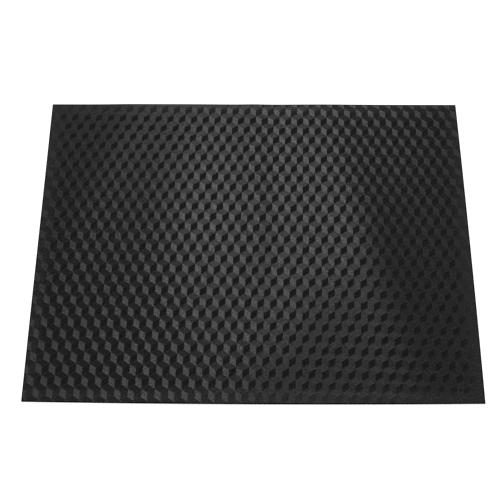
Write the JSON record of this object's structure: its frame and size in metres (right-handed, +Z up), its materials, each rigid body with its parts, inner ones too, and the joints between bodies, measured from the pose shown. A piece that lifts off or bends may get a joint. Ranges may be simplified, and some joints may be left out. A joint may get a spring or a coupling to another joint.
{
  "type": "door mat",
  "caption": "Thin flexible rectangular door mat, cut from sheet, with an all-over embossed tumbling-block face, a woven scrim, a foam core and a non-slip underside.",
  "frame": {"origin": "centre of the underside, on the floor that the mat lies on", "axes": "+X along the long side, to the right; +Y along the short side, away from a person standing in front; +Z up, out of the embossed face"},
  "size_m": [0.7, 0.5, 0.004],
  "materials": {
    "embossed_face": "satin",
    "scrim_yarn": "matte",
    "foam": "matte",
    "grip_rubber": "matte"
  },
  "bodies": {
    "root": {"wear_layer": "embossed_face", "scrim": "scrim_yarn", "foam_core": "foam", "grip_backing": "grip_rubber"}
  },
  "joints": []
}
